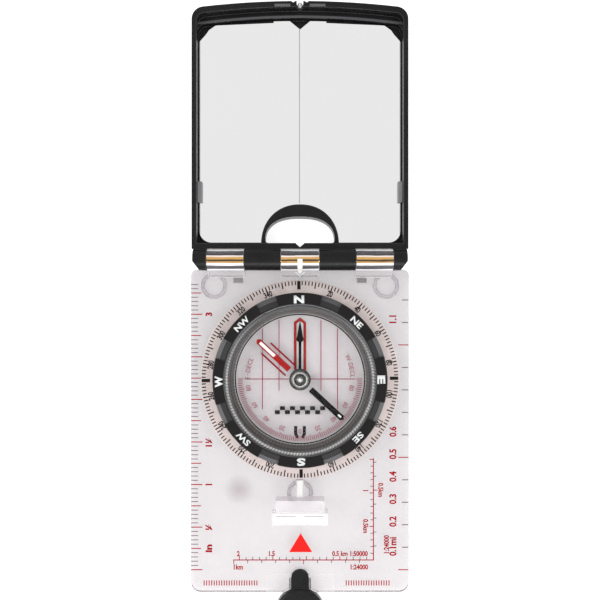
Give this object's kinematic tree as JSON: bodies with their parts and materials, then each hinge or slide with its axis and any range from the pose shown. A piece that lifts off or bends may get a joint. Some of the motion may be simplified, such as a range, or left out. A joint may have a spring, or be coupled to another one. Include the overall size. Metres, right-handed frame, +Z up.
{
  "type": "baseplate compass",
  "caption": "Clear baseplate compass with a turning bezel, a floating needle, a clinometer pointer and a hinged black sighting-mirror lid, opened flat.",
  "frame": {"origin": "under the middle of the opened compass, on the surface that its feet stand on", "axes": "+Y from the lanyard fitting towards the open lid's far rim, +X across the baseplate to the right, +Z up out of the dial"},
  "size_m": [0.0654, 0.1876, 0.0121],
  "materials": {
    "clear_acrylic": "clear, polished, faint lavender tint",
    "clear_silicone": "clear soft silicone, matt",
    "brass": "turned, satin",
    "lume": "white luminous",
    "frosted_white": "white, smooth",
    "black_plastic": "fine satin grain",
    "grey_plastic": "satin",
    "mirror_face": "polished",
    "cream_clear": "clear with a peach tint",
    "black_grip": "moulded, fine grain",
    "white_plastic": "moulded",
    "dark_grey_plastic": "fine texture",
    "steel": "ground",
    "red_paint": "gloss red",
    "black_paint": "satin black",
    "hub_metal": "turned rings",
    "sapphire": "polished"
  },
  "bodies": {
    "base": {"baseplate": "clear_acrylic", "silicone_feet": "clear_silicone", "magnifier_lens": "clear_acrylic", "hinge_pin": "brass", "north_index": "lume", "south_index": "lume", "lid_catch": "clear_acrylic", "catch_rest": "frosted_white"},
    "lid": {"lid_shell": "black_plastic", "mirror": "mirror_face", "mirror_clips": "grey_plastic", "rim_pads": "grey_plastic", "sight_bead": "lume"},
    "bezel": {"bezel_flange": "cream_clear", "grip_ring": "black_grip", "toothed_ring": "white_plastic", "capsule_cup": "clear_acrylic", "capsule_liner": "dark_grey_plastic", "capsule_window": "clear_acrylic", "bottom_window": "clear_acrylic", "pivot_post": "steel"},
    "orienting_arrow": {"orienting_disc": "clear_acrylic"},
    "adjuster": {"adjusting_screw": "brass"},
    "needle": {"needle_north": "red_paint", "needle_south": "black_paint", "north_lume": "lume", "south_lume": "lume", "needle_vane": "clear_acrylic", "needle_hub": "hub_metal", "jewel": "sapphire"},
    "clinometer": {"clinometer_pointer": "black_paint", "clinometer_collar": "brass"},
    "fitting": {"lanyard_fitting": "black_plastic"}
  },
  "joints": [
    {"name": "lid_hinge", "type": "hinge", "parent": "base", "child": "lid", "pos_m": [0, 0.0184, 0.009], "axis": [1, 0, 0], "range_deg": [0, 180]},
    {"name": "bezel_turn", "type": "hinge", "parent": "base", "child": "bezel", "pos_m": [0, -0.0166, 0.004], "axis": [0, 0, 1], "continuous": true},
    {"name": "declination_turn", "type": "hinge", "parent": "bezel", "child": "orienting_arrow", "pos_m": [0, -0.0166, 0.0017], "axis": [0, 0, 1], "range_deg": [-80, 80]},
    {"name": "adjuster_turn", "type": "hinge", "parent": "bezel", "child": "adjuster", "pos_m": [-0.01485, -0.03145, 0.0017], "axis": [0, 0, 1], "range_deg": [-1320, 1320]},
    {"name": "needle_turn", "type": "hinge", "parent": "bezel", "child": "needle", "pos_m": [0, -0.0166, 0.0065], "axis": [0, 0, 1], "continuous": true},
    {"name": "clinometer_turn", "type": "hinge", "parent": "bezel", "child": "clinometer", "pos_m": [0, -0.0166, 0.0037], "axis": [0, 0, 1], "continuous": true},
    {"name": "fitting_slide", "type": "slide", "parent": "base", "child": "fitting", "axis": [0, -1, 0], "range_m": [0, 0.012]}
  ],
  "couplings": [
    {"joint": "adjuster_turn", "follows": "declination_turn", "ratio": -16.5}
  ]
}
